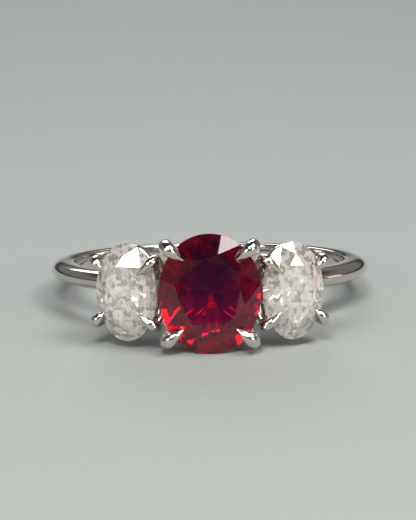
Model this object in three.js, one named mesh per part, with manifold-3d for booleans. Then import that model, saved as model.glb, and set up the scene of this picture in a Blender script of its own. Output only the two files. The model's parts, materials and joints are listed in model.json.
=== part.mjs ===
// A three-stone ring: an oval ruby between two oval diamonds, each held by four pointed claws in an open
// basket, on a slim D-section shank. It lies on its side, on the head and the back of the shank.
//
// Ring frame: origin at the centre of the finger hole, Y along the finger, Z out through the ruby and X
// across the hand. Basket frame: the ring frame turned about Y, so that Z runs out through its own stone.
// All sizes are in millimetres.
import * as THREE from "three";
import Module from "manifold-3d";
import { ConvexGeometry } from "three/addons/geometries/ConvexGeometry.js";
import { mergeVertices } from "three/addons/utils/BufferGeometryUtils.js";

const wasm = await Module();
wasm.setup();
const { Manifold } = wasm;

// Driving dimensions
const FINGER_DIAMETER = 17.0;
const SHANK = { width: 1.15, thickness: 1.45, flank: 0.7, chamfer: 0.12 };
const GALLERY = { thickness: 0.9, width: 2.3, endWidth: 1.6, edge: 0.15, windowMargin: 0.1 };
const SOLDER_GAP = 0.02; // between metal pieces that are soldered together
const SEAT_GAP = 0.02; // between a stone and the metal cut to seat it
const STONE_GAP = 0.1; // across the hand, between the ruby's girdle and a diamond's
const CLAW_GAP = 0.05; // between the claws of neighbouring baskets

const RUBY = {
  stone: {
    width: 6.0, length: 7.1, fullness: 2.1, table: 0.6, crown: 0.95, girdle: 0.14, pavilion: 2.6,
    turn: 9, // degrees that its facets are turned about its middle
    shoulder: 0.33, // how far out the star facets reach, from the table's edge to the girdle
  },
  girdleHeight: 5.1, // above the inside of the finger hole
  claw: {
    radius: 0.44, footRadius: 0.38, tipRadius: 0.06,
    outside: 0.46, // from the girdle's edge out to the wire's centre line
    foot: { x: 1.1, y: 0.64 },
    // around: degrees round the girdle from the basket's X; heading: degrees from that X to the way the
    // claw leans in plan; reach: from the girdle's edge in to the tip.
    grip: { around: 44, heading: 37, reach: 0.78 },
  },
  rail: { width: 0.6, depth: 0.6, bite: 0.12, bevel: 0.12 },
  lowerRail: 1.5, // from the under-gallery's outside up to the lower rail's middle
  upperRail: 1.1, // from the girdle down to the upper rail's middle
};

const DIAMOND = {
  stone: {
    width: 3.9, length: 5.8, fullness: 2.0, table: 0.58, crown: 0.62, girdle: 0.1, pavilion: 1.75,
    turn: 22.5, shoulder: 0.5,
  },
  girdleHeight: 4.8,
  claw: {
    radius: 0.34, footRadius: 0.32, tipRadius: 0.05,
    outside: 0.36,
    foot: { x: 0.82, y: 0.5 },
    grip: { around: 36, heading: 41, reach: 0.88 },
    outerGrip: { around: 32, heading: 48, reach: 0.48 }, // on the side away from the ruby
  },
  rail: { width: 0.5, depth: 0.5, bite: 0.1, bevel: 0.1 },
  lowerRail: 1.4,
  upperRail: 0.85,
};

// Fineness of the meshes
const SHANK_STEPS = 72;
const DOME_STEPS = 6;
const RAIL_STEPS = 18;
const CLAW_STEPS = 12;
const CLAW_SIDES = 10;
const GIRDLE_STEPS = 48; // a multiple of 16
const FAR = 40; // longer than the ring, for solids that only cut

const holeRadius = FINGER_DIAMETER / 2;
const galleryRadius = holeRadius + GALLERY.thickness;

const PLATINUM = { color: 0xc9c6c2, roughness: 0.12, metalness: 1 };
const RED = { color: 0x8f0a22, roughness: 0.03, metalness: 0 };
const CLEAR = { color: 0xf4efe6, roughness: 0.02, metalness: 0 };

// Solids

/** A closed geometry as a manifold-3d solid. */
function solidOf(geometry) {
  const bare = new THREE.BufferGeometry();
  bare.setAttribute("position", geometry.getAttribute("position"));
  if (geometry.index) bare.setIndex(geometry.index);
  const merged = mergeVertices(bare, 1e-5);
  return new Manifold(
    new wasm.Mesh({
      numProp: 3,
      vertProperties: merged.attributes.position.array,
      triVerts: new Uint32Array(merged.index.array),
    }),
  );
}

/** A manifold-3d solid as a geometry. */
function geometryOf(solid) {
  const mesh = solid.getMesh();
  const geometry = new THREE.BufferGeometry();
  geometry.setAttribute("position", new THREE.BufferAttribute(mesh.vertProperties, 3));
  geometry.setIndex(new THREE.BufferAttribute(mesh.triVerts, 1));
  geometry.computeVertexNormals();
  return geometry;
}

/** A named mesh of a solid. */
function piece(name, solid, finish) {
  const mesh = new THREE.Mesh(geometryOf(solid), new THREE.MeshStandardMaterial(finish));
  mesh.name = name;
  return mesh;
}

/** A shape in the XZ plane, extruded along Y through everything. */
function throughY(shape) {
  const geometry = new THREE.ExtrudeGeometry(shape, { depth: 2 * FAR, bevelEnabled: false });
  return solidOf(geometry.translate(0, 0, -FAR).rotateX(Math.PI / 2));
}

/** A shape in the XY plane, extruded along Z from the finger hole's centre outwards. */
function outwards(shape) {
  const geometry = new THREE.ExtrudeGeometry(shape, { depth: FAR, bevelEnabled: false, curveSegments: 24 });
  return solidOf(geometry);
}

/** A wedge round +Z, from the finger's axis outwards, reaching the same angle to each side. */
function wedge(angle) {
  const half = FAR * Math.tan(angle);
  const points = [new THREE.Vector2(0, 0), new THREE.Vector2(half, FAR), new THREE.Vector2(-half, FAR)];
  return throughY(new THREE.Shape(points));
}

/** A full round cylinder about the finger's axis. */
function fingerCylinder(radius) {
  return solidOf(new THREE.CylinderGeometry(radius, radius, 2 * FAR, 4 * SHANK_STEPS));
}

// Stones

/** A point on an oval outline that is a little fuller than an ellipse where fullness is over 2. */
function ovalPoint({ width, length, fullness }, angle) {
  const [c, s] = [Math.cos(angle), Math.sin(angle)];
  const swell = (Math.abs(c) ** fullness + Math.abs(s) ** fullness) ** (-1 / fullness);
  return new THREE.Vector3((width / 2) * swell * c, (length / 2) * swell * s, 0);
}

/** An oval brilliant, its girdle in the XY plane and its table towards +Z: a round one, stretched. */
function brilliant(stone) {
  const { table, crown, girdle, pavilion, turn } = stone;
  const eighth = Math.PI / 4;
  const rim = girdle / 2;
  const tableEdge = table * Math.cos(eighth / 2);
  // Where star, kite and upper girdle facets meet.
  const shoulder = tableEdge + (1 - tableEdge) * stone.shoulder;
  const kiteFall = (crown - rim) / (1 - table);
  const shoulderHeight = rim + kiteFall * (1 - shoulder * Math.cos(eighth / 2));
  const keel = 0.25; // where neighbouring pavilion mains and lower girdle facets meet
  const keelHeight = -pavilion + (pavilion - rim) * keel * Math.cos(eighth / 2);
  const points = [new THREE.Vector3(0, 0, -pavilion)];
  const place = (radius, angle, z) => {
    points.push(ovalPoint(stone, angle + THREE.MathUtils.degToRad(turn)).multiplyScalar(radius).setZ(z));
  };
  for (let k = 0; k < 8; k++) {
    const main = k * eighth;
    const between = main + eighth / 2;
    place(table, main, crown);
    place(shoulder, between, shoulderHeight);
    place(keel, between, keelHeight);
  }
  for (let step = 0; step < GIRDLE_STEPS; step++) {
    const angle = (2 * Math.PI * step) / GIRDLE_STEPS;
    place(1, angle, rim);
    place(1, angle, -rim);
  }
  return solidOf(new ConvexGeometry(points));
}

// Wires and rails

/** A closed wire of round section along a curve. radiusAt gives its radius at a share of its length. */
function taperedWire(curve, radiusAt) {
  const frames = curve.computeFrenetFrames(CLAW_STEPS, false);
  const positions = [];
  const indices = [];
  const at = (step, side) => step * CLAW_SIDES + (side % CLAW_SIDES);
  for (let step = 0; step <= CLAW_STEPS; step++) {
    const share = step / CLAW_STEPS;
    const centre = curve.getPointAt(share);
    for (let side = 0; side < CLAW_SIDES; side++) {
      const turn = (2 * Math.PI * side) / CLAW_SIDES;
      const spoke = frames.normals[step].clone().multiplyScalar(Math.cos(turn));
      spoke.addScaledVector(frames.binormals[step], Math.sin(turn));
      positions.push(...centre.clone().addScaledVector(spoke, radiusAt(share)));
    }
  }
  const footCentre = positions.length / 3;
  positions.push(...curve.getPointAt(0), ...curve.getPointAt(1));
  for (let side = 0; side < CLAW_SIDES; side++) {
    for (let step = 0; step < CLAW_STEPS; step++) {
      indices.push(at(step, side), at(step, side + 1), at(step + 1, side));
      indices.push(at(step, side + 1), at(step + 1, side + 1), at(step + 1, side));
    }
    indices.push(footCentre, at(0, side + 1), at(0, side));
    indices.push(footCentre + 1, at(CLAW_STEPS, side), at(CLAW_STEPS, side + 1));
  }
  const geometry = new THREE.BufferGeometry();
  geometry.setAttribute("position", new THREE.Float32BufferAttribute(positions, 3));
  geometry.setIndex(indices);
  return geometry;
}

/** Where the +X +Y claw crosses a stone's girdle, and the way it leans in plan. */
function clawCrossing(stone, grip) {
  const heading = THREE.MathUtils.degToRad(grip.heading);
  const edge = ovalPoint(stone, THREE.MathUtils.degToRad(grip.around));
  return { edge, out: new THREE.Vector3(Math.cos(heading), Math.sin(heading), 0) };
}

/**
 * The centre line of a claw in its basket's frame: up from its foot, past the girdle and on to the crown.
 * outerSide is the side of the basket away from the ruby: -1, 1, or 0 on the ruby's own basket.
 */
function clawLine(basket, sideX, sideY, outerSide) {
  const { stone, claw, girdleHeight } = basket;
  const grip = (sideX === outerSide && claw.outerGrip) || claw.grip;
  const { edge, out } = clawCrossing(stone, grip);
  const girdle = holeRadius + girdleHeight;
  const along = (distance, height) => edge.clone().addScaledVector(out, distance).setZ(girdle + height);
  const foot = new THREE.Vector3(claw.foot.x, claw.foot.y, galleryRadius - claw.footRadius);
  const neck = along(claw.outside * 0.8, -claw.radius);
  const crownAtTip = (stone.crown * grip.reach) / ((1 - stone.table) * edge.length());
  const bend = stone.girdle / 2 + claw.radius;
  const points = [
    foot,
    foot.clone().lerp(neck, 0.5),
    neck,
    along(claw.outside, bend * 0.35),
    along(claw.outside * 0.6, bend),
    along(-grip.reach * 0.35, crownAtTip * 0.45 + claw.radius * 0.75),
    along(-grip.reach, crownAtTip + claw.tipRadius),
  ];
  return new THREE.CatmullRomCurve3(
    points.map((p) => p.multiply(new THREE.Vector3(sideX, sideY, 1))),
    false,
    "centripetal",
  );
}

/** A claw's radius along its centre line: it swells to the girdle, then runs out to a point. */
function clawRadius({ claw }) {
  const bend = 0.76;
  return (share) =>
    share < bend
      ? THREE.MathUtils.lerp(claw.footRadius, claw.radius, THREE.MathUtils.smoothstep(share, 0, bend))
      : THREE.MathUtils.lerp(claw.radius, claw.tipRadius, ((share - bend) / (1 - bend)) ** 1.3);
}

/** The oval rail that the claws are let into, with its middle at a level above the finger's axis. */
function railBlank(basket, level) {
  const { stone, rail, claw } = basket;
  const line = clawLine(basket, 1, 1, 0);
  let meets = line.getPointAt(0);
  for (let share = 0; share < 1 && meets.z < level; share += 0.005) meets = line.getPointAt(share);
  const scale = Math.hypot(meets.x / (stone.width / 2), meets.y / (stone.length / 2));
  const inset = claw.radius - rail.bite + rail.bevel;
  const outerX = (scale * stone.width) / 2 - inset;
  const outerY = (scale * stone.length) / 2 - inset;
  const wall = rail.width - 2 * rail.bevel;
  const shape = new THREE.Shape().absellipse(0, 0, outerX, outerY, 0, 2 * Math.PI, false, 0);
  const inside = new THREE.Path();
  shape.holes.push(inside.absellipse(0, 0, outerX - wall, outerY - wall, 0, 2 * Math.PI, true, 0));
  const geometry = new THREE.ExtrudeGeometry(shape, {
    depth: rail.depth - 2 * rail.bevel,
    bevelSize: rail.bevel,
    bevelThickness: rail.bevel,
    bevelSegments: 1,
    curveSegments: RAIL_STEPS,
  });
  return solidOf(geometry.translate(0, 0, level - rail.depth / 2 + rail.bevel));
}

// Assemblies

/** A stone with its four claws and two rails, as a group in its basket's frame. */
function basketGroup(name, basket, outerSide, finish) {
  const { stone, claw, girdleHeight } = basket;
  const group = new THREE.Group();
  const girdle = holeRadius + girdleHeight;
  group.add(piece(name, brilliant(stone).translate(0, 0, girdle), finish));
  const grown = { ...stone, crown: stone.crown + SEAT_GAP, pavilion: stone.pavilion + 2 * SEAT_GAP };
  grown.width += 2 * SEAT_GAP;
  grown.length += 2 * SEAT_GAP;
  grown.girdle += 2 * SEAT_GAP;
  const seat = brilliant(grown).translate(0, 0, girdle);
  const floor = fingerCylinder(galleryRadius + SOLDER_GAP);
  const wider = { ...claw, radius: claw.radius + SOLDER_GAP, footRadius: claw.footRadius + SOLDER_GAP };
  let notches;
  for (const [sideX, acrossName] of [[-1, "left"], [1, "right"]]) {
    for (const [sideY, upName] of [[-1, "lower"], [1, "upper"]]) {
      const line = clawLine(basket, sideX, sideY, outerSide);
      const wire = solidOf(taperedWire(line, clawRadius(basket)));
      const cut = wire.subtract(seat).subtract(floor);
      group.add(piece(`${name}_claw_${upName}_${acrossName}`, cut, PLATINUM));
      const notch = solidOf(taperedWire(line, clawRadius({ claw: wider })));
      notches = notches ? notches.add(notch) : notch;
    }
  }
  const levels = { lower_rail: galleryRadius + basket.lowerRail, upper_rail: girdle - basket.upperRail };
  for (const [railName, level] of Object.entries(levels)) {
    const cut = railBlank(basket, level).subtract(notches).subtract(seat);
    group.add(piece(`${name}_${railName}`, cut, PLATINUM));
  }
  return group;
}

/** Points along an upper claw with its radius there, in the ring frame, for a basket turned by angle. */
function clawBeads(basket, sideX, angle) {
  const line = clawLine(basket, sideX, 1, Math.sign(angle));
  const radiusAt = clawRadius(basket);
  const beads = [];
  for (let share = 0; share <= 1; share += 0.04) {
    const centre = line.getPointAt(share).applyAxisAngle(new THREE.Vector3(0, 1, 0), angle);
    beads.push({ centre, radius: radiusAt(share) });
  }
  return beads;
}

/** The angle round the finger from the ruby to a diamond, where the stones and the claws are clear. */
function diamondAngle() {
  const girdle = holeRadius + DIAMOND.girdleHeight;
  const halfWidth = DIAMOND.stone.width / 2;
  const reach = RUBY.stone.width / 2 + STONE_GAP;
  const rubyBeads = clawBeads(RUBY, 1, 0);
  const clearance = (angle) => {
    let least = Infinity;
    for (const near of clawBeads(DIAMOND, -1, angle)) {
      for (const far of rubyBeads) {
        least = Math.min(least, near.centre.distanceTo(far.centre) - near.radius - far.radius);
      }
    }
    return least;
  };
  let angle = Math.asin(reach / Math.hypot(girdle, halfWidth)) + Math.atan(halfWidth / girdle);
  while (clearance(angle) < CLAW_GAP) angle += 0.001;
  return angle;
}

/** The band from one shoulder round the back of the finger to the other. */
function shank(shoulder) {
  const { width, thickness, flank, chamfer } = SHANK;
  const half = width / 2;
  const profile = [
    new THREE.Vector2(holeRadius, -half + chamfer),
    new THREE.Vector2(holeRadius + chamfer, -half),
  ];
  for (let step = 0; step <= DOME_STEPS; step++) {
    const a = Math.PI * (step / DOME_STEPS - 0.5);
    const rise = flank + (thickness - flank) * Math.cos(a);
    profile.push(new THREE.Vector2(holeRadius + rise, half * Math.sin(a)));
  }
  profile.push(new THREE.Vector2(holeRadius + chamfer, half));
  profile.push(new THREE.Vector2(holeRadius, half - chamfer));
  profile.push(profile[0].clone());
  const band = solidOf(new THREE.LatheGeometry(profile, SHANK_STEPS));
  return band.subtract(wedge(shoulder));
}

/** The pierced strip that closes the finger hole under the baskets and carries the claws' feet. */
function underGallery(shoulder, sideAngle) {
  const { width, endWidth, edge, windowMargin } = GALLERY;
  const half = width / 2;
  const profile = [
    new THREE.Vector2(holeRadius, -half + edge),
    new THREE.Vector2(holeRadius + edge, -half),
    new THREE.Vector2(galleryRadius - edge, -half),
    new THREE.Vector2(galleryRadius, -half + edge),
    new THREE.Vector2(galleryRadius, half - edge),
    new THREE.Vector2(galleryRadius - edge, half),
    new THREE.Vector2(holeRadius + edge, half),
    new THREE.Vector2(holeRadius, half - edge),
    new THREE.Vector2(holeRadius, -half + edge),
  ];
  const reach = galleryRadius * Math.sin(shoulder);
  const outline = new THREE.Shape();
  outline.moveTo(-reach, -endWidth / 2);
  outline.quadraticCurveTo(0, endWidth / 2 - width, reach, -endWidth / 2);
  outline.lineTo(reach, endWidth / 2);
  outline.quadraticCurveTo(0, width - endWidth / 2, -reach, endWidth / 2);
  const ring = solidOf(new THREE.LatheGeometry(profile, SHANK_STEPS));
  let strip = ring.intersect(wedge(shoulder - SOLDER_GAP / holeRadius)).intersect(outwards(outline));
  for (const [basket, angle] of [[RUBY, 0], [DIAMOND, sideAngle], [DIAMOND, -sideAngle]]) {
    const across = basket.claw.foot.x - basket.claw.footRadius - windowMargin;
    const along = basket.claw.foot.y - windowMargin;
    const window = new THREE.Shape().absellipse(0, 0, across, along, 0, 2 * Math.PI, false, 0);
    const turned = new THREE.Matrix4().makeRotationY(angle);
    strip = strip.subtract(outwards(window).transform(turned.elements));
  }
  return strip;
}

/** Where the shank stops, just clear of the diamonds' outer claws. */
function shoulderAngle(sideAngle) {
  const outerRadius = holeRadius + SHANK.thickness;
  const beads = clawBeads(DIAMOND, 1, sideAngle).filter(({ centre }) => {
    return Math.hypot(centre.x, centre.z) < outerRadius + DIAMOND.claw.radius;
  });
  const edges = beads.map(({ centre, radius }) => {
    const distance = Math.hypot(centre.x, centre.z);
    return Math.atan2(centre.x, centre.z) + Math.asin((radius + SOLDER_GAP) / distance);
  });
  return Math.max(...edges);
}

// Lying down

/** The vertices of an object, in its root's frame. */
function verticesOf(object) {
  const found = [];
  object.updateWorldMatrix(true, true);
  object.traverse((child) => {
    if (!child.isMesh) return;
    const position = child.geometry.getAttribute("position");
    for (let i = 0; i < position.count; i++) {
      found.push(new THREE.Vector3().fromBufferAttribute(position, i).applyMatrix4(child.matrixWorld));
    }
  });
  return found;
}

/** How far the ring leans from lying level, so that the head and the back of the shank both touch down. */
function restingLean(head, band) {
  const lowest = (points, lean) => {
    return Math.min(...points.map((p) => p.y * Math.cos(lean) + p.z * Math.sin(lean)));
  };
  let level = 0;
  let steep = Math.PI / 4;
  for (let halving = 0; halving < 40; halving++) {
    const lean = (level + steep) / 2;
    if (lowest(head, lean) < lowest(band, lean)) level = lean;
    else steep = lean;
  }
  return level;
}

const sideAngle = diamondAngle();
const shoulder = shoulderAngle(sideAngle);

const head = new THREE.Group();
const rubyBasket = basketGroup("ruby", RUBY, 0, RED);
const leftBasket = basketGroup("left_diamond", DIAMOND, -1, CLEAR);
const rightBasket = basketGroup("right_diamond", DIAMOND, 1, CLEAR);
leftBasket.rotation.y = -sideAngle;
rightBasket.rotation.y = sideAngle;
head.add(rubyBasket, leftBasket, rightBasket);
head.add(piece("under_gallery", underGallery(shoulder, sideAngle), PLATINUM));

const band = new THREE.Group();
band.add(piece("shank", shank(shoulder), PLATINUM));

const ring = new THREE.Group();
ring.add(head, band);
const lean = restingLean(verticesOf(head), verticesOf(band));
ring.rotation.x = Math.PI / 2 - lean;

const lying = new THREE.Group();
lying.add(ring);
const bounds = new THREE.Box3().setFromObject(lying, true);
const centre = bounds.getCenter(new THREE.Vector3());
ring.position.set(-centre.x, -centre.y, -bounds.min.z);

export default lying;
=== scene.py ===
"""A three-stone ring: an oval ruby between two oval diamonds, claw-set on a slim shank.

Everything is modelled in millimetres in the ring's own frame, and placed in the row's frame in
metres at the end. Ring frame: origin at the centre of the finger hole, Y along the finger, Z out
through the ruby, X across the hand. Basket frame: the ring frame turned about Y, so that Z runs out
through its own stone.
"""

import json
import logging
import math
from collections.abc import Callable, Iterator
from contextlib import contextmanager
from dataclasses import dataclass
from enum import Enum

import bmesh
import bpy
from bpy.types import Material, Node, NodeSocket, NodeTree, Object
from mathutils import Matrix, Vector


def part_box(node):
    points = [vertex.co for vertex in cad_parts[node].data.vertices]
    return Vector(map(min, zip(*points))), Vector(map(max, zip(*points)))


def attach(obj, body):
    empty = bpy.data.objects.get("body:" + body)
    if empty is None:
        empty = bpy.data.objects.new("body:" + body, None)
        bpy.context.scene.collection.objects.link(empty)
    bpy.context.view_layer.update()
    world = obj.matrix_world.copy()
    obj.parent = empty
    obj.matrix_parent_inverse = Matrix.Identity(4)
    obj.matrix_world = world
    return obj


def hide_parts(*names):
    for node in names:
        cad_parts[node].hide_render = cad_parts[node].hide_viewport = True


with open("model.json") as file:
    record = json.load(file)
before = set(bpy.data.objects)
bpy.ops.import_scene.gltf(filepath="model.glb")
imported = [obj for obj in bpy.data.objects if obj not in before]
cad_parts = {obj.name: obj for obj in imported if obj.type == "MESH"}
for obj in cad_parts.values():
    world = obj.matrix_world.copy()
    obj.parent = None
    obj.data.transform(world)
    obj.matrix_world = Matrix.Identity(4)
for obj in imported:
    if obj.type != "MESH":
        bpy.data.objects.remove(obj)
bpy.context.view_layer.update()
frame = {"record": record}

log = logging.getLogger("ring")
MM = 0.001
BODY = "root"

# Millimetres
HOLE_RADIUS = 8.5
STONE_GAP = 0.1
SEAT_GAP = 0.015
SOLDER_GAP = 0.02
WELD = 1e-5
LEVEL = 1e-4

# Shares of a stone's half width
STONE_WELD = 1e-4
CUT_SNAP = 1e-6

# Radians: an eighth of a turn, and the corners that are rounded
EIGHTH = math.pi / 4
CORNER = math.radians(50)

# Degrees: the edges that are shaded smooth
METAL_SMOOTH = 35
CLAW_SMOOTH = 40

Colour = tuple[float, float, float]


class Side(Enum):
    """Which way round the finger a basket leans."""

    LEFT = -1
    MIDDLE = 0
    RIGHT = 1


class Slot(Enum):
    """The record's material slots."""

    METAL = "polished_platinum"
    RED_STONE = "ruby_red"
    CLEAR_STONE = "diamond_clear"


# Working with one piece at a time


def choose(piece: Object) -> None:
    """Makes a piece the only selected object, and the active one.

    Args:
        piece: The piece to choose.
    """
    bpy.ops.object.select_all(action="DESELECT")
    piece.select_set(True)
    bpy.context.view_layer.objects.active = piece


def new_piece(name: str) -> Object:
    """Names the object that an operator has just added.

    Args:
        name: The name for the object and its data.

    Returns:
        The object, chosen.
    """
    piece = bpy.context.object
    piece.name = name
    piece.data.name = name
    choose(piece)
    return piece


@contextmanager
def editing(piece: Object, everything: bool = True) -> Iterator[None]:
    """Edit mode on one piece.

    Args:
        piece: The mesh object to edit.
        everything: Whether all of it starts selected, or nothing.
    """
    choose(piece)
    bpy.ops.object.mode_set(mode="EDIT")
    bpy.ops.mesh.select_all(action="SELECT" if everything else "DESELECT")
    try:
        yield
    finally:
        bpy.ops.object.mode_set(mode="OBJECT")


def select_vertices(piece: Object, wanted: Callable[[Vector], bool]) -> None:
    """Selects vertices of the piece in edit mode by their place, and what lies between them.

    Args:
        piece: The piece in edit mode.
        wanted: Says of a vertex's place whether it is selected.
    """
    mesh = bmesh.from_edit_mesh(piece.data)
    for vertex in mesh.verts:
        vertex.select = wanted(vertex.co)
    mesh.select_flush_mode()
    mesh.select_flush(True)
    bmesh.update_edit_mesh(piece.data)


def apply_modifier(piece: Object, kind: str, **settings: object) -> None:
    """Adds a modifier to a piece and applies it.

    Args:
        piece: The piece to change.
        kind: Blender's name for the modifier's type.
        settings: Values for the modifier's properties.
    """
    choose(piece)
    modifier = piece.modifiers.new(kind.lower(), kind)
    for key, value in settings.items():
        setattr(modifier, key, value)
    bpy.ops.object.modifier_apply(modifier=modifier.name)


def cut_away(piece: Object, tool: Object) -> None:
    """Removes from a piece the space that a tool fills."""
    apply_modifier(piece, "BOOLEAN", operation="DIFFERENCE", solver="EXACT", object=tool)


def round_edges(piece: Object, width: float, segments: int) -> None:
    """Rounds a piece's sharp edges.

    Args:
        piece: The piece to change.
        width: The rounding's width.
        segments: The faces across it.
    """
    apply_modifier(
        piece, "BEVEL", width=width, segments=segments, limit_method="ANGLE", angle_limit=CORNER
    )


def weld(distance: float = WELD) -> None:
    """Merges the doubled vertices of the piece in edit mode, and turns its faces outwards.

    Args:
        distance: How near two vertices are to be merged.
    """
    bpy.ops.mesh.select_all(action="SELECT")
    bpy.ops.mesh.remove_doubles(threshold=distance)
    bpy.ops.mesh.normals_make_consistent(inside=False)


def clean(piece: Object, smooth_angle: float) -> None:
    """Welds a piece and smooths its soft edges.

    Args:
        piece: The piece to clean.
        smooth_angle: Edges flatter than this, in degrees, are shaded smooth.
    """
    with editing(piece):
        weld()
    bpy.ops.object.shade_smooth_by_angle(angle=math.radians(smooth_angle))


def bake(piece: Object) -> None:
    """Applies a piece's place, turn and scale to its mesh."""
    choose(piece)
    bpy.ops.object.transform_apply(location=True, rotation=True, scale=True)


def swing(piece: Object, angle: float) -> None:
    """Turns a piece round the finger, by an angle in radians."""
    piece.matrix_world = Matrix.Rotation(angle, 4, "Y")
    bake(piece)


def remove(piece: Object) -> None:
    """Deletes a tool that has done its work."""
    bpy.data.objects.remove(piece, do_unlink=True)


def copy_of(piece: Object, name: str) -> Object:
    """Copies a piece.

    Args:
        piece: The piece to copy.
        name: The copy's name.

    Returns:
        The copy, with its own mesh.
    """
    twin = piece.copy()
    twin.data = piece.data.copy()
    twin.name = name
    bpy.context.collection.objects.link(twin)
    return twin


@dataclass(frozen=True)
class RingFrame:
    """Where the ring lies in the row's frame: its finger hole's centre and the way its ruby faces."""

    origin: Vector
    outward: Vector

    @classmethod
    def from_mount(cls, record: dict, name: str, height: float) -> "RingFrame":
        """Reads the frame off a mount on the ruby's table.

        Args:
            record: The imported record.
            name: The mount's name.
            height: The table's height above the finger's axis, in millimetres.

        Returns:
            The ring's frame.
        """
        mount = next(m for m in record["mounts"] if m["name"] == name)
        outward = Vector(mount["axis"]).normalized()
        return cls(Vector(mount["pos_m"]) - outward * height * MM, outward)

    def matrix(self, turn: float = 0.0) -> Matrix:
        """From a basket's frame in millimetres to the row's frame in metres.

        Args:
            turn: The basket's angle round the finger from the ruby, in radians.

        Returns:
            The placing matrix.
        """
        across = Vector((1, 0, 0))
        axes = Matrix((across, self.outward.cross(across), self.outward)).transposed().to_4x4()
        swung = Matrix.Rotation(turn, 4, "Y")
        return Matrix.Translation(self.origin) @ axes @ swung @ Matrix.Scale(MM, 4)

    def point(self, place: Vector, turn: float = 0.0) -> Vector:
        """A point of a basket's frame, in the row's frame."""
        return self.matrix(turn) @ place


def settle(piece: Object, place: Matrix, material: Material, node: str) -> None:
    """Puts a finished piece in its place, dressed, on its body and instead of its CAD node.

    Args:
        piece: The piece, in its basket's frame in millimetres.
        place: The matrix to the row's frame.
        material: The finish.
        node: The CAD node that the piece stands for.
    """
    piece.matrix_world = place @ piece.matrix_world
    bake(piece)
    piece.data.materials.clear()
    piece.data.materials.append(material)
    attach(piece, BODY)
    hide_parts(node)
    log.info("%s: %d faces", piece.name, len(piece.data.polygons))


# Finishes


class Shader:
    """A node tree, with short ways to add nodes and to link them."""

    def __init__(self, tree: NodeTree) -> None:
        """Starts on a tree, emptied of its nodes."""
        self.tree = tree
        self.tree.nodes.clear()

    def add(self, kind: str, inputs: dict[str, object] | None = None, **settings: object) -> Node:
        """Adds a node.

        Args:
            kind: Blender's name for the node's type.
            inputs: Values, or sockets to link from, by input name.
            settings: Values for the node's properties.

        Returns:
            The new node.
        """
        node = self.tree.nodes.new(kind)
        for key, value in settings.items():
            setattr(node, key, value)
        self.fill(node, inputs or {})
        return node

    def fill(self, node: Node, inputs: dict[str, object]) -> None:
        """Sets a node's inputs to values, or links them from sockets.

        Args:
            node: The node.
            inputs: Values, or sockets to link from, by input name.
        """
        for key, value in inputs.items():
            if isinstance(value, NodeSocket):
                self.tree.links.new(value, node.inputs[key])
            else:
                node.inputs[key].default_value = value

    def blend(self, mask: NodeSocket, first: object, second: object) -> NodeSocket:
        """Mixes two colours.

        Args:
            mask: 0 for the first colour, 1 for the second.
            first: A colour, or a socket to link from.
            second: The same.

        Returns:
            The mixed colour's socket.
        """
        colour_a, colour_b, mixed = 6, 7, 2
        pair = [
            value if isinstance(value, NodeSocket) else (*value, 1.0) for value in (first, second)
        ]
        mix = self.add(
            "ShaderNodeMix",
            {"Factor": mask, colour_a: pair[0], colour_b: pair[1]},
            data_type="RGBA",
        )
        return mix.outputs[mixed]

    def output(self, sockets: dict[str, NodeSocket]) -> None:
        """Adds the material's output and links the sockets to it."""
        self.add("ShaderNodeOutputMaterial", sockets)


def new_material(name: str) -> tuple[Material, Shader]:
    """Starts a node material.

    Args:
        name: The material's name.

    Returns:
        The material, and its empty shader for the caller to fill.
    """
    material = bpy.data.materials.new(name)
    material.use_nodes = True
    return material, Shader(material.node_tree)


class Effect:
    """A shared shader effect: one node group with named inputs and outputs, for every finish."""

    name: str
    inputs: dict[str, str]
    outputs: tuple[str, ...]

    def wire(self, shader: Shader, given: bpy.types.NodeOutputs) -> dict[str, NodeSocket]:
        """Adds the group's nodes.

        Args:
            shader: The group's shader.
            given: The group's inputs.

        Returns:
            The sockets to hand out, by output name.
        """
        raise NotImplementedError

    def group(self) -> NodeTree:
        """Finds the node group, or builds it when it is first asked for.

        Returns:
            The group's node tree.
        """
        known = bpy.data.node_groups.get(self.name)
        if known:
            return known
        tree = bpy.data.node_groups.new(self.name, "ShaderNodeTree")
        for name, kind in self.inputs.items():
            tree.interface.new_socket(name, in_out="INPUT", socket_type=f"NodeSocket{kind}")
        for name in self.outputs:
            tree.interface.new_socket(name, in_out="OUTPUT", socket_type="NodeSocketFloat")
        shader = Shader(tree)
        given = shader.add("NodeGroupInput").outputs
        shader.add("NodeGroupOutput", self.wire(shader, given))
        return tree

    def place(self, shader: Shader, **values: object) -> bpy.types.NodeOutputs:
        """Puts the group in a material, on Object coordinates.

        Args:
            shader: The material's shader.
            values: The group's other inputs, by name.

        Returns:
            The group's outputs.
        """
        where = shader.add("ShaderNodeTexCoord").outputs["Object"]
        node = shader.add("ShaderNodeGroup", node_tree=self.group())
        shader.fill(node, {"Vector": where, **values})
        return node.outputs


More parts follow.
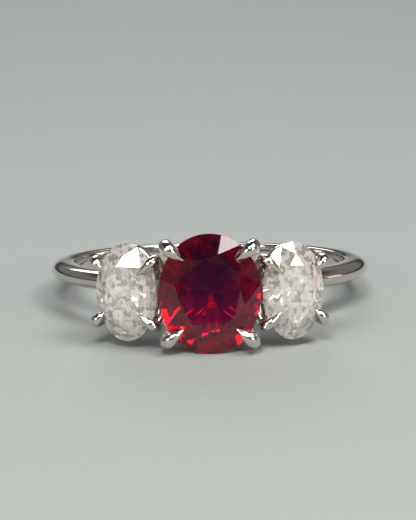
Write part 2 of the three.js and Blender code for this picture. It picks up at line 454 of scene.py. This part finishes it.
class PolishMarks(Effect):
    """The fine lines and clouding that a polishing wheel leaves.

    Scale is the marks in a metre, Base the roughness of the cleanest spots, and Amount what the
    marks add.
    """

    name = "polish_marks"
    inputs = {"Vector": "Vector", "Scale": "Float", "Base": "Float", "Amount": "Float"}
    outputs = ("Height", "Roughness")
    stretch = (1.0, 9.0, 9.0)
    line_noise = {"Detail": 3.0, "Roughness": 0.6}
    cloud_noise = {"Detail": 4.0, "Roughness": 0.5}

    def wire(self, shader: Shader, given: bpy.types.NodeOutputs) -> dict[str, NodeSocket]:
        """Adds lines across X and clouds, and roughens the surface where both are strong.

        Args:
            shader: The group's shader.
            given: The group's inputs.

        Returns:
            The sockets to hand out, by output name.
        """
        scale = given["Scale"]
        across = shader.add(
            "ShaderNodeVectorMath", {0: given["Vector"], 1: self.stretch}, operation="MULTIPLY"
        )
        lines = shader.add(
            "ShaderNodeTexNoise", {"Vector": across.outputs[0], "Scale": scale, **self.line_noise}
        )
        clouds = shader.add(
            "ShaderNodeTexNoise", {"Vector": given["Vector"], "Scale": scale, **self.cloud_noise}
        )
        both = shader.add(
            "ShaderNodeMath",
            {0: lines.outputs["Fac"], 1: clouds.outputs["Fac"]},
            operation="MULTIPLY",
        )
        rough = shader.add(
            "ShaderNodeMath",
            {0: both.outputs[0], 1: given["Amount"], 2: given["Base"]},
            operation="MULTIPLY_ADD",
        )
        return {"Height": lines.outputs["Fac"], "Roughness": rough.outputs[0]}


class PaintedShadeZone(Effect):
    """A cloudy patch of painted shade inside a stone.

    It is at full strength out to Inner from its Centre and gone at Outer. Cloud is how ragged its
    edge is, and Grain the clouds in a metre.
    """

    name = "colour_zone"
    inputs = {
        "Vector": "Vector", "Centre": "Vector", "Inner": "Float", "Outer": "Float",
        "Cloud": "Float", "Grain": "Float",
    }
    outputs = ("Mask",)
    detail = 3.0

    def wire(self, shader: Shader, given: bpy.types.NodeOutputs) -> dict[str, NodeSocket]:
        """Adds a ball with a ragged, soft edge.

        Args:
            shader: The group's shader.
            given: The group's inputs.

        Returns:
            The sockets to hand out, by output name.
        """
        away = shader.add(
            "ShaderNodeVectorMath", {0: given["Vector"], 1: given["Centre"]}, operation="DISTANCE"
        )
        noise = shader.add(
            "ShaderNodeTexNoise",
            {"Vector": given["Vector"], "Scale": given["Grain"], "Detail": self.detail},
        )
        ragged = shader.add(
            "ShaderNodeMath",
            {0: noise.outputs["Fac"], 1: given["Cloud"], 2: away.outputs["Value"]},
            operation="MULTIPLY_ADD",
        )
        mask = shader.add(
            "ShaderNodeMapRange",
            {"Value": ragged.outputs[0], "From Min": given["Outer"], "From Max": given["Inner"]},
            interpolation_type="SMOOTHSTEP",
        )
        return {"Mask": mask.outputs["Result"]}


class PaintedSparkle(Effect):
    """Painted sparkle: small bright and dull patches painted into a stone's colour, standing in for
    the light and shade that its crossing reflections break into.
    """

    name = "painted_sparkle"
    inputs = {"Vector": "Vector", "Scale": "Float"}
    outputs = ("Dull", "Bright")
    dull_share = 0.3
    bright_share = 0.22
    softness = 0.18

    def wire(self, shader: Shader, given: bpy.types.NodeOutputs) -> dict[str, NodeSocket]:
        """Adds angular cells, and masks of those that draw a low or a high lot.

        Args:
            shader: The group's shader.
            given: The group's inputs.

        Returns:
            The sockets to hand out, by output name.
        """
        cells = shader.add(
            "ShaderNodeTexVoronoi",
            {"Vector": given["Vector"], "Scale": given["Scale"], "Randomness": 1.0},
            distance="MANHATTAN",
        )
        lot = shader.add("ShaderNodeSeparateColor", {"Color": cells.outputs["Color"]})
        ends = {
            "Dull": (self.dull_share + self.softness, self.dull_share - self.softness),
            "Bright": (1 - self.bright_share - self.softness, 1 - self.bright_share),
        }
        masks = {}
        for name, (none, full) in ends.items():
            mask = shader.add(
                "ShaderNodeMapRange",
                {"Value": lot.outputs["Red"], "From Min": none, "From Max": full},
                interpolation_type="SMOOTHSTEP",
            )
            masks[name] = mask.outputs["Result"]
        return masks


@dataclass(frozen=True)
class PolishedMetal:
    """Bright-polished platinum: nearly a mirror, with a faint warmth and the marks of wear."""

    name: str = "polished_platinum"
    pale: Colour = (0.76, 0.715, 0.675)
    grey: Colour = (0.60, 0.56, 0.53)
    marks_per_metre: float = 2500.0
    roughness: float = 0.05
    wear: float = 0.22
    bump: float = 0.015
    mark_depth: float = 0.00002

    def material(self) -> Material:
        """Builds the finish.

        Returns:
            The material.
        """
        material, shader = new_material(self.name)
        marks = PolishMarks().place(
            shader, Scale=self.marks_per_metre, Base=self.roughness, Amount=self.wear
        )
        bump = shader.add(
            "ShaderNodeBump",
            {"Height": marks["Height"], "Strength": self.bump, "Distance": self.mark_depth},
        )
        surface = shader.add(
            "ShaderNodeBsdfPrincipled",
            {
                "Base Color": shader.blend(marks["Height"], self.pale, self.grey),
                "Metallic": 1.0,
                "Roughness": marks["Roughness"],
                "Normal": bump.outputs["Normal"],
            },
        )
        shader.output({"Surface": surface.outputs["BSDF"]})
        return material


@dataclass(frozen=True)
class PaintedShade:
    """A patch of painted shade inside a stone: a darker colour where shade shows through it.

    It is at full strength out to inner from its centre and gone at outer, in metres. Its edge is
    the less ragged the higher its fineness, and grain is the clouds in a metre.
    """

    colour: Colour
    centre: Vector
    inner: float
    outer: float
    fineness: float = 6.0
    grain: float = 700.0

    @property
    def cloud(self) -> float:
        """How ragged its edge is, in metres."""
        return (self.outer - self.inner) / self.fineness


@dataclass(frozen=True)
class Body:
    """How a stone's depth takes light: the colour that passes, and how fast the rest goes."""

    colour: Colour
    density: float


@dataclass(frozen=True)
class Gem:
    """A transparent cut stone. Its tint is broken by painted patches of dull reflection and of bright
    glint.
    """

    name: str
    index: float
    clearness: float
    tint: Colour
    # The colours of the painted dull reflection patches and of the painted glints
    painted_dull: Colour
    painted_glint: Colour
    patches_per_metre: float
    # A patch of painted shade, where the shade behind the stone shows through it
    painted_shade: PaintedShade | None = None
    body: Body | None = None
    roughness: float = 0.0
    wear: float = 0.02
    marks_per_metre: float = 900.0

    def colour(self, shader: Shader) -> NodeSocket:
        """Adds the painted reflection patches and the patch of painted shade.

        Args:
            shader: The material's shader.

        Returns:
            The colour's socket.
        """
        patches = PaintedSparkle().place(shader, Scale=self.patches_per_metre)
        # Painted reflections: dull patches and bright glints painted over the tint
        dulled = shader.blend(patches["Dull"], self.tint, self.painted_dull)
        broken = shader.blend(patches["Bright"], dulled, self.painted_glint)
        if not self.painted_shade:
            return broken
        # Painted shade: darkens the colour inside the patch
        shade_mask = PaintedShadeZone().place(
            shader, Centre=self.painted_shade.centre, Inner=self.painted_shade.inner, Outer=self.painted_shade.outer,
            Cloud=self.painted_shade.cloud, Grain=self.painted_shade.grain,
        )
        return shader.blend(shade_mask["Mask"], broken, self.painted_shade.colour)

    def material(self) -> Material:
        """Builds the finish.

        Returns:
            The material.
        """
        material, shader = new_material(self.name)
        marks = PolishMarks().place(
            shader, Scale=self.marks_per_metre, Base=self.roughness, Amount=self.wear
        )
        surface = shader.add(
            "ShaderNodeBsdfPrincipled",
            {
                "Base Color": self.colour(shader),
                "Roughness": marks["Roughness"],
                "IOR": self.index,
                "Transmission Weight": self.clearness,
            },
        )
        sockets = {"Surface": surface.outputs["BSDF"]}
        if self.body:
            depth = shader.add(
                "ShaderNodeVolumeAbsorption",
                {"Color": (*self.body.colour, 1.0), "Density": self.body.density},
            )
            sockets["Volume"] = depth.outputs["Volume"]
        shader.output(sockets)
        return material


# Stones


@dataclass(frozen=True)
class OvalBrilliant:
    """An oval brilliant cut: its girdle in the XY plane and its table towards +Z.

    It is cut as a round one of radius 1, and stretched to its width and length.
    """

    width: float
    length: float
    fullness: float
    table: float
    crown: float
    girdle: float
    pavilion: float
    turn: float
    shoulder: float
    split: int = 1
    split_closeness: float = 1.5
    keel: float = 0.25
    sides: int = 144

    def outline(self, angle: float) -> Vector:
        """Finds a point on the girdle's edge.

        Args:
            angle: Its angle before stretching, in radians.

        Returns:
            The point, in millimetres.
        """
        c, s = math.cos(angle), math.sin(angle)
        swell = (abs(c) ** self.fullness + abs(s) ** self.fullness) ** (-1 / self.fullness)
        return Vector((self.width / 2 * swell * c, self.length / 2 * swell * s, 0.0))

    def preform(self) -> Object:
        """Makes the prism that the stone is cut from, already swollen to its fullness.

        Returns:
            The prism, before stretching.
        """
        depth = self.crown + self.pavilion
        middle = (self.crown - self.pavilion) / 2
        bpy.ops.mesh.primitive_cylinder_add(
            vertices=self.sides, radius=1.0, depth=depth, location=(0, 0, middle),
            end_fill_type="NGON",
        )
        piece = new_piece("preform")
        bake(piece)
        for vertex in piece.data.vertices:
            angle = math.atan2(vertex.co.y, vertex.co.x)
            edge = self.outline(angle)
            vertex.co.x = edge.x / (self.width / 2)
            vertex.co.y = edge.y / (self.length / 2)
        return piece

    def facets(self) -> list[tuple[Vector, Vector]]:
        """The facets in the order that they are cut.

        Returns:
            A point and an outward normal for each facet, before stretching.
        """
        rim = self.girdle / 2
        half = EIGHTH / 2
        fall = (self.crown - rim) / (1 - self.table)
        rise = self.pavilion - rim
        inner = self.table * math.cos(half)
        shoulder = inner + (1 - inner) * self.shoulder
        shoulder_z = rim + fall * (1 - shoulder * math.cos(half))
        keel_z = -self.pavilion + rise * self.keel * math.cos(half)
        cuts = []

        def at(radius: float, angle: float, z: float) -> Vector:
            """A point of the cut, turned as the stone is."""
            turned = angle + math.radians(self.turn)
            return Vector((radius * math.cos(turned), radius * math.sin(turned), z))

        def cut(a: Vector, b: Vector, c: Vector) -> None:
            """Notes the facet through three points."""
            normal = (b - a).cross(c - a).normalized()
            cuts.append((a, normal if normal.dot(a) > 0 else -normal))

        for k in range(8):
            main = k * EIGHTH
            high = at(1, main, rim)
            cut(high, high + at(1, main + math.pi / 2, 0), at(self.table, main, self.crown))
            for share in range(self.split):
                angle = main + (share - (self.split - 1) / 2) * half / self.split_closeness
                low = at(1, angle, -rim)
                cut(low, low + at(1, angle + math.pi / 2, 0), Vector((0, 0, -self.pavilion)))
        for k in range(8):
            main = k * EIGHTH
            between = main + half
            for near in (main, main + EIGHTH):
                cut(at(1, near, -rim), at(1, between, -rim), at(self.keel, between, keel_z))
                cut(at(1, near, rim), at(1, between, rim), at(shoulder, between, shoulder_z))
            cut(
                at(self.table, main, self.crown),
                at(self.table, main + EIGHTH, self.crown),
                at(shoulder, between, shoulder_z),
            )
        return cuts

    def build(self, name: str, height: float) -> Object:
        """Cuts the stone.

        Args:
            name: The piece's name.
            height: The height of the girdle above the finger's axis.

        Returns:
            The stone in its basket's frame.
        """
        piece = self.preform()
        piece.name = name
        with editing(piece):
            for point, normal in self.facets():
                bpy.ops.mesh.select_all(action="SELECT")
                bpy.ops.mesh.bisect(
                    plane_co=point, plane_no=normal, use_fill=True, clear_outer=True,
                    threshold=CUT_SNAP,
                )
            weld(STONE_WELD)
        bpy.ops.object.shade_flat()
        piece.scale = (self.width / 2, self.length / 2, 1.0)
        piece.location = (0, 0, height)
        bake(piece)
        return piece

    def seat(self, stone: Object, height: float, gap: float) -> Object:
        """A tool as large as the stone and its clearance.

        Args:
            stone: The cut stone.
            height: The height of its girdle above the finger's axis.
            gap: The clearance.

        Returns:
            The tool in the basket's frame.
        """
        tool = copy_of(stone, f"{stone.name}_seat")
        grow = Vector([1 + 2 * gap / size for size in (self.width, self.length, self.pavilion)])
        tool.scale = grow
        tool.location = (0, 0, height * (1 - grow.z))
        bake(tool)
        return tool


# Metalwork


@dataclass(frozen=True)
class Grip:
    """How a claw crosses its stone: degrees round the girdle, lean in plan, and reach inwards."""

    around: float
    heading: float
    reach: float


@dataclass(frozen=True)
class ClawWire:
    """A tapered claw: round wire that swells to the girdle, bends over it and runs out to a point.

    The first six are in millimetres. The last eight are shares: how far out its neck stands, how
    high and how far out it bends, where it slopes, and how thick it is at each place.
    """

    radius: float
    foot_radius: float
    tip_radius: float
    outside: float
    foot_x: float
    foot_y: float
    grip: Grip
    outer_grip: Grip
    neck_out: float = 0.8
    bend_rise: float = 0.35
    bend_out: float = 0.6
    bend_taper: float = 0.97
    slope_reach: float = 0.35
    slope_rise: float = 0.45
    slope_lift: float = 0.75
    slope_taper: float = 0.66


@dataclass(frozen=True)
class RailSize:
    """The section of an oval rail, and how far it is let into the claws."""

    width: float
    depth: float
    bite: float
    bevel: float


@dataclass(frozen=True)
class BasketSize:
    """All the sizes of one stone's setting."""

    stone: OvalBrilliant
    girdle_height: float
    claw: ClawWire
    rail: RailSize
    lower_rail: float
    upper_rail: float

    @property
    def girdle(self) -> float:
        """The girdle's height above the finger's axis."""
        return HOLE_RADIUS + self.girdle_height

    @property
    def table_height(self) -> float:
        """The table's height above the finger's axis."""
        return self.girdle + self.stone.crown


RUBY = BasketSize(
    stone=OvalBrilliant(
        width=6.0, length=7.1, fullness=2.1, table=0.6, crown=0.95, girdle=0.14, pavilion=2.6,
        turn=9, shoulder=0.33,
    ),
    girdle_height=5.1,
    claw=ClawWire(
        radius=0.44, foot_radius=0.38, tip_radius=0.04, outside=0.46, foot_x=1.1, foot_y=0.64,
        grip=Grip(around=44, heading=37, reach=0.78),
        outer_grip=Grip(around=44, heading=37, reach=0.78),
    ),
    rail=RailSize(width=0.6, depth=0.6, bite=0.12, bevel=0.14),
    lower_rail=1.5,
    upper_rail=1.1,
)
DIAMOND = BasketSize(
    stone=OvalBrilliant(
        width=3.9, length=5.8, fullness=2.0, table=0.58, crown=0.62, girdle=0.1, pavilion=1.75,
        turn=22.5, shoulder=0.5, split=2,
    ),
    girdle_height=4.8,
    claw=ClawWire(
        radius=0.34, foot_radius=0.32, tip_radius=0.035, outside=0.36, foot_x=0.82, foot_y=0.5,
        grip=Grip(around=36, heading=41, reach=0.88),
        outer_grip=Grip(around=32, heading=48, reach=0.48),
    ),
    rail=RailSize(width=0.5, depth=0.5, bite=0.1, bevel=0.12),
    lower_rail=1.4,
    upper_rail=0.85,
)


def diamond_turn() -> float:
    """Works out where a diamond stands, with its girdle just clear of the ruby's.

    Returns:
        Its angle round the finger from the ruby, in radians.
    """
    half_width = DIAMOND.stone.width / 2
    reach = RUBY.stone.width / 2 + STONE_GAP
    to_edge = math.hypot(DIAMOND.girdle, half_width)
    return math.asin(reach / to_edge) + math.atan(half_width / DIAMOND.girdle)


@dataclass
class Gallery:
    """The pierced strip that closes the finger hole under the baskets and carries the claws."""

    thickness: float = 0.9
    width: float = 2.3
    end_width: float = 1.6
    window_margin: float = 0.1
    window_sides: int = 48
    steps: int = 64
    bevel: float = 0.14
    bevel_steps: int = 3

    @property
    def outside(self) -> float:
        """The radius of its outer face."""
        return HOLE_RADIUS + self.thickness

    def window(self, basket: BasketSize, turn: float) -> Object:
        """A tool that pierces the strip under a stone.

        Args:
            basket: The sizes of the stone's setting.
            turn: The basket's angle round the finger, in radians.

        Returns:
            The tool in the ring's frame.
        """
        across = basket.claw.foot_x - basket.claw.foot_radius - self.window_margin
        along = basket.claw.foot_y - self.window_margin
        bpy.ops.mesh.primitive_cylinder_add(
            vertices=self.window_sides, radius=1.0, depth=4 * self.thickness,
            location=(0, 0, self.outside),
        )
        tool = new_piece("window")
        tool.scale = (across, along, 1.0)
        bake(tool)
        swing(tool, turn)
        return tool

    def build(self, name: str, reach: float) -> Object:
        """Bends the strip and pierces it.

        Args:
            name: The piece's name.
            reach: The angle from the ruby to each end of the strip, in radians.

        Returns:
            The strip in the ring's frame.
        """
        bpy.ops.mesh.primitive_plane_add(size=1.0, location=(0, 0, 0))
        piece = new_piece(name)
        piece.scale = (self.width, self.thickness, 1.0)
        piece.rotation_euler = (math.pi / 2, 0, math.pi / 2)
        piece.location = (0, 0, HOLE_RADIUS + self.thickness / 2)
        bake(piece)
        swing(piece, reach)
        with editing(piece):
            bpy.ops.mesh.spin(steps=self.steps, angle=2 * reach, center=(0, 0, 0), axis=(0, 1, 0))
            weld()
        end = self.outside * math.sin(reach)
        for vertex in piece.data.vertices:
            share = min(abs(vertex.co.x) / end, 1.0)
            vertex.co.y *= 1 - (1 - self.end_width / self.width) * share**2
        for basket, turn in ((RUBY, 0.0), (DIAMOND, diamond_turn()), (DIAMOND, -diamond_turn())):
            tool = self.window(basket, turn)
            cut_away(piece, tool)
            remove(tool)
        round_edges(piece, self.bevel, self.bevel_steps)
        clean(piece, METAL_SMOOTH)
        return piece


@dataclass
class Shank:
    """The band from one shoulder round the back of the finger to the other.

    It is flat sided, with a domed outside.
    """

    width: float = 1.15
    thickness: float = 1.45
    flank: float = 0.7
    inner_bevel: float = 0.14
    inner_bevel_steps: int = 4
    steps: int = 160
    sides: int = 48

    def section(self) -> Object:
        """Draws the D-shaped section.

        Returns:
            The section, standing in the YZ plane above the finger.
        """
        dome = self.thickness - self.flank
        bpy.ops.mesh.primitive_circle_add(
            vertices=self.sides, radius=1.0, fill_type="NGON",
            rotation=(math.pi / 2, 0, math.pi / 2),
        )
        piece = new_piece("section")
        bake(piece)
        with editing(piece):
            bpy.ops.transform.resize(value=(1, self.width / 2, dome))
            bpy.ops.mesh.bisect(
                plane_co=(0, 0, 0), plane_no=(0, 0, -1), use_fill=False, clear_outer=True
            )
        with editing(piece, everything=False):
            select_vertices(piece, lambda place: abs(place.z) < LEVEL)
            bpy.ops.mesh.extrude_region_move(TRANSFORM_OT_translate={"value": (0, 0, -self.flank)})
            bpy.ops.mesh.bevel(
                offset=self.inner_bevel, segments=self.inner_bevel_steps, affect="VERTICES"
            )
            bpy.ops.mesh.select_all(action="SELECT")
            bpy.ops.transform.translate(value=(0, 0, HOLE_RADIUS + self.flank))
        return piece

    def build(self, name: str, shoulder: float) -> Object:
        """Spins the section round the finger.

        Args:
            name: The piece's name.
            shoulder: The angle from the ruby to each end of the band, in radians.

        Returns:
            The band in the ring's frame.
        """
        piece = self.section()
        piece.name = name
        swing(piece, -shoulder)
        with editing(piece):
            bpy.ops.mesh.spin(
                steps=self.steps, angle=2 * (math.pi - shoulder), center=(0, 0, 0), axis=(0, 1, 0)
            )
        clean(piece, METAL_SMOOTH)
        return piece


@dataclass
class Basket:
    """A stone in its four claws and two rails."""

    name: str
    size: BasketSize
    side: Side
    gallery: Gallery
    wire_steps: int = 10
    wire_roundness: int = 8
    rail_sides: int = 96
    rail_bevel_steps: int = 4

    @property
    def turn(self) -> float:
        """The basket's angle round the finger from the ruby."""
        return self.side.value * diamond_turn()

    def claw_line(self, side_x: int, side_y: int) -> list[tuple[Vector, float]]:
        """Works out a claw's centre line.

        Args:
            side_x: 1 or -1, the side of the basket across the hand.
            side_y: 1 or -1, the side of the basket along the finger.

        Returns:
            Its points from the foot to the tip, with the wire's radius at each.
        """
        claw, stone = self.size.claw, self.size.stone
        grip = claw.outer_grip if side_x == self.side.value else claw.grip
        edge = stone.outline(math.radians(grip.around))
        heading = math.radians(grip.heading)
        out = Vector((math.cos(heading), math.sin(heading), 0))
        crown_at_tip = stone.crown * grip.reach / ((1 - stone.table) * edge.length)
        bend = stone.girdle / 2 + claw.radius

        def along(distance: float, height: float) -> Vector:
            """A point out from the girdle's edge and above it."""
            return edge + out * distance + Vector((0, 0, self.size.girdle + height))

        foot = Vector((claw.foot_x, claw.foot_y, self.gallery.outside - claw.foot_radius))
        neck = along(claw.outside * claw.neck_out, -claw.radius)
        slope = crown_at_tip * claw.slope_rise + claw.radius * claw.slope_lift
        line = [
            (foot, claw.foot_radius),
            (foot.lerp(neck, 0.5), (claw.foot_radius + claw.radius) / 2),
            (neck, claw.radius),
            (along(claw.outside, bend * claw.bend_rise), claw.radius),
            (along(claw.outside * claw.bend_out, bend), claw.radius * claw.bend_taper),
            (along(-grip.reach * claw.slope_reach, slope), claw.radius * claw.slope_taper),
            (along(-grip.reach, crown_at_tip + claw.tip_radius), claw.tip_radius),
        ]
        return [(Vector((p.x * side_x, p.y * side_y, p.z)), r) for p, r in line]

    def build_claw(self, name: str, side_x: int, side_y: int, seat: Object) -> Object:
        """Draws one claw along its centre line and cuts its seat.

        Args:
            name: The piece's name.
            side_x: 1 or -1, the side of the basket across the hand.
            side_y: 1 or -1, the side of the basket along the finger.
            seat: The tool that cuts the stone's seat.

        Returns:
            The claw in the basket's frame.
        """
        line = self.claw_line(side_x, side_y)
        bpy.ops.curve.primitive_bezier_curve_add()
        piece = new_piece(name)
        piece.data.dimensions = "3D"
        piece.data.resolution_u = self.wire_steps
        piece.data.bevel_depth = 1.0
        piece.data.bevel_resolution = self.wire_roundness
        piece.data.use_fill_caps = True
        spline = piece.data.splines[0]
        spline.bezier_points.add(len(line) - len(spline.bezier_points))
        for point, (place, radius) in zip(spline.bezier_points, line):
            point.co = place
            point.radius = radius
            point.handle_left_type = "AUTO"
            point.handle_right_type = "AUTO"
        bpy.ops.object.convert(target="MESH")
        piece = bpy.context.object
        with editing(piece):
            weld()
        cut_away(piece, seat)
        clean(piece, CLAW_SMOOTH)
        return piece

    def rail_outline(self, level: float) -> tuple[float, float]:
        """The half sizes of a rail's outer edge.

        Args:
            level: The rail's height above the finger's axis.

        Returns:
            Its reach across the hand and along the finger.
        """
        line = self.claw_line(1, 1)
        (low, _), (high, _) = line[0], line[2]
        meets = low.lerp(high, min((level - low.z) / (high.z - low.z), 1.0))
        stone, claw, rail = self.size.stone, self.size.claw, self.size.rail
        scale = math.hypot(meets.x / (stone.width / 2), meets.y / (stone.length / 2))
        inset = claw.radius - rail.bite
        return scale * stone.width / 2 - inset, scale * stone.length / 2 - inset

    def build_rail(self, name: str, level: float, seat: Object) -> Object:
        """Makes an oval rail: a hoop drawn up from a circle, given its wall and rounded.

        Args:
            name: The piece's name.
            level: The rail's height above the finger's axis.
            seat: The tool that cuts the stone's seat.

        Returns:
            The rail in the basket's frame.
        """
        rail = self.size.rail
        across, along = self.rail_outline(level)
        bpy.ops.mesh.primitive_circle_add(
            vertices=self.rail_sides, radius=1.0, location=(0, 0, level - rail.depth / 2)
        )
        piece = new_piece(name)
        piece.scale = (across, along, 1.0)
        bake(piece)
        with editing(piece):
            bpy.ops.mesh.extrude_region_move(TRANSFORM_OT_translate={"value": (0, 0, rail.depth)})
            weld()
        apply_modifier(piece, "SOLIDIFY", thickness=rail.width, offset=-1.0)
        round_edges(piece, rail.bevel, self.rail_bevel_steps)
        with editing(piece):
            weld()
        cut_away(piece, seat)
        clean(piece, METAL_SMOOTH)
        return piece

    def build(self, place: Matrix, metal: Material, gem: Material, slot: Slot) -> None:
        """Builds and settles every piece of the basket.

        Args:
            place: The matrix from the basket's frame to the row's.
            metal: The finish of the claws and rails.
            gem: The finish of the stone.
            slot: The record's slot for the stone. It is not used.
        """
        size = self.size
        stone = size.stone.build(f"{self.name}_cut", size.girdle)
        seat = size.stone.seat(stone, size.girdle, SEAT_GAP)
        for side_x, across in ((-1, "left"), (1, "right")):
            for side_y, up in ((-1, "lower"), (1, "upper")):
                node = f"{self.name}_claw_{up}_{across}"
                claw = self.build_claw(f"{node}_polished", side_x, side_y, seat)
                settle(claw, place, metal, node)
        levels = {
            "lower_rail": self.gallery.outside + size.lower_rail,
            "upper_rail": size.girdle - size.upper_rail,
        }
        for rail, level in levels.items():
            node = f"{self.name}_{rail}"
            hoop = self.build_rail(f"{node}_polished", level, seat)
            settle(hoop, place, metal, node)
        settle(stone, place, gem, self.name)
        remove(seat)


# The studio


@dataclass(frozen=True)
class Softbox:
    """A square light that faces the ring, hung in a direction from it, with metres and watts."""

    name: str
    direction: tuple[float, float, float]
    away: float
    size: float
    watts: float
    colour: Colour


SOFTBOXES = (
    Softbox("key_softbox", (0.47, -0.22, 0.86), 0.32, 0.16, 0.9, (1.0, 0.97, 0.95)),
    Softbox("front_softbox", (-0.12, -0.62, 0.75), 0.36, 0.12, 1.2, (1.0, 0.97, 0.92)),
    Softbox("left_strip", (-0.63, -0.70, 0.34), 0.36, 0.12, 0.4, (1.0, 0.98, 0.95)),
    Softbox("right_strip", (0.63, -0.70, 0.34), 0.36, 0.12, 0.4, (1.0, 0.98, 0.95)),
    Softbox("violet_card", (0.0, -1.0, 0.03), 0.35, 0.05, 0.0015, (0.5, 0.2, 1.0)),
    Softbox("pink_card", (0.95, 0.25, 0.1), 0.35, 0.1, 0.035, (1.0, 0.72, 0.62)),
    Softbox("back_softbox", (-0.1, 0.9, 0.55), 0.4, 0.2, 0.5, (0.9, 0.95, 1.0)),
)


@dataclass
class Studio:
    """A pale table top, soft lights and the camera."""

    target: Vector
    elevation: float = 14.0
    distance: float = 0.18
    view_height: float = 0.0305
    roll: float = 0.6
    look_above: float = 0.00199
    look_left: float = 0.00009
    sensor: float = 36.0
    nearest: float = 0.01
    farthest: float = 10.0
    floor_size: float = 3.0
    floor_colour: Colour = (0.25, 0.27, 0.26)
    floor_roughness: float = 0.75
    dim: Colour = (0.045, 0.05, 0.06)
    glow: Colour = (0.20, 0.19, 0.175)
    band: tuple[float, float, float, float] = (0.08, 0.17, 0.48, 0.62)

    def build_floor(self) -> None:
        """Lays the table top."""
        bpy.ops.mesh.primitive_plane_add(size=self.floor_size, location=(0, 0, 0))
        floor = new_piece("table_top")
        material, shader = new_material("pale_table")
        surface = shader.add(
            "ShaderNodeBsdfPrincipled",
            {"Base Color": (*self.floor_colour, 1.0), "Roughness": self.floor_roughness},
        )
        shader.output({"Surface": surface.outputs["BSDF"]})
        floor.data.materials.append(material)

    def build_camera(self) -> None:
        """Sets the camera up at the viewing angle."""
        tilt, roll = math.radians(self.elevation), math.radians(self.roll)
        toward = Vector((0, -math.cos(tilt), math.sin(tilt)))
        right = Vector((1, 0, 0))
        up = toward.cross(right)
        data = bpy.data.cameras.new("camera")
        data.sensor_width = self.sensor
        data.lens = self.sensor * self.distance / self.view_height
        data.clip_start = self.nearest
        data.clip_end = self.farthest
        camera = bpy.data.objects.new("camera", data)
        bpy.context.collection.objects.link(camera)
        place = self.target + toward * self.distance + up * self.look_above - right * self.look_left
        rolled_right = right * math.cos(roll) - up * math.sin(roll)
        rolled_up = right * math.sin(roll) + up * math.cos(roll)
        axes = Matrix((rolled_right, rolled_up, toward)).transposed().to_4x4()
        camera.matrix_world = Matrix.Translation(place) @ axes
        bpy.context.scene.camera = camera

    def build_lights(self) -> None:
        """Hangs the softboxes and cards."""
        for box in SOFTBOXES:
            data = bpy.data.lights.new(box.name, "AREA")
            data.shape = "SQUARE"
            data.size = box.size
            data.energy = box.watts
            data.color = box.colour
            light = bpy.data.objects.new(box.name, data)
            bpy.context.collection.objects.link(light)
            unit = Vector(box.direction).normalized()
            light.location = self.target + unit * box.away
            light.rotation_euler = unit.to_track_quat("Z", "Y").to_euler()

    def build_room(self) -> None:
        """Sets a dim room with a soft band of light all round it, above the horizon."""
        world = bpy.data.worlds.new("room")
        world.use_nodes = True
        shader = Shader(world.node_tree)
        way = shader.add("ShaderNodeTexCoord").outputs["Generated"]
        height = shader.add("ShaderNodeSeparateXYZ", {"Vector": way}).outputs["Z"]
        ramp = shader.add("ShaderNodeValToRGB", {"Fac": height})
        first, last = ramp.color_ramp.elements
        first.position, first.color = self.band[0], (*self.dim, 1.0)
        last.position, last.color = self.band[3], (*self.dim, 1.0)
        for place in self.band[1:3]:
            ramp.color_ramp.elements.new(place).color = (*self.glow, 1.0)
        room = shader.add("ShaderNodeBackground", {"Color": ramp.outputs["Color"], "Strength": 1.0})
        shader.add("ShaderNodeOutputWorld", {"Surface": room.outputs["Background"]})
        bpy.context.scene.world = world
        bpy.context.scene.view_settings.view_transform = "Standard"


def main() -> None:
    """Builds the ring and its studio."""
    logging.basicConfig(level=logging.INFO, format="%(message)s")
    ring = RingFrame.from_mount(frame["record"], "ruby_table", RUBY.table_height)
    metal = PolishedMetal().material()
    ruby = Gem(
        name="ruby_red", index=1.6, clearness=0.88, patches_per_metre=1800.0,
        # Painted reflections: the darker and the bright crimson patches of the tint stand in for the
        # stone's crossing reflections
        tint=(0.66, 0.003, 0.11), painted_dull=(0.42, 0.002, 0.06), painted_glint=(0.95, 0.010, 0.19),
        # Painted shade: a near-black purple patch under the upper middle of the table stands in for
        # the shade behind the ruby seen through it
        painted_shade=PaintedShade(
            colour=(0.018, 0.001, 0.028), centre=ring.point(Vector((0, 1.6, RUBY.table_height))),
            inner=0.0010, outer=0.0058,
        ),
        body=Body(colour=(0.96, 0.01, 0.30), density=900.0),
    ).material()
    diamond = Gem(
        name="diamond_clear", index=2.42, clearness=0.64, patches_per_metre=4000.0,
        # Painted reflections: the grey patches and white glints of the tint stand in for the stone's
        # sparkle
        tint=(0.84, 0.80, 0.74), painted_dull=(0.46, 0.42, 0.36), painted_glint=(1.0, 1.0, 1.0),
    ).material()

    gallery = Gallery()
    low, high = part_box("under_gallery")
    shoulder = math.asin((high[0] - low[0]) / MM / 2 / gallery.outside)
    strip = gallery.build("under_gallery_polished", shoulder - SOLDER_GAP / HOLE_RADIUS)
    settle(strip, ring.matrix(), metal, "under_gallery")
    settle(Shank().build("shank_polished", shoulder), ring.matrix(), metal, "shank")
    for name, size, side, gem, slot in (
        ("ruby", RUBY, Side.MIDDLE, ruby, Slot.RED_STONE),
        ("left_diamond", DIAMOND, Side.LEFT, diamond, Slot.CLEAR_STONE),
        ("right_diamond", DIAMOND, Side.RIGHT, diamond, Slot.CLEAR_STONE),
    ):
        basket = Basket(name, size, side, gallery)
        basket.build(ring.matrix(basket.turn), metal, gem, slot)

    studio = Studio(ring.point(Vector((0, 0, RUBY.girdle))))
    studio.build_floor()
    studio.build_camera()
    studio.build_lights()
    studio.build_room()

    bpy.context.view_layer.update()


if __name__ == "__main__":
    main()
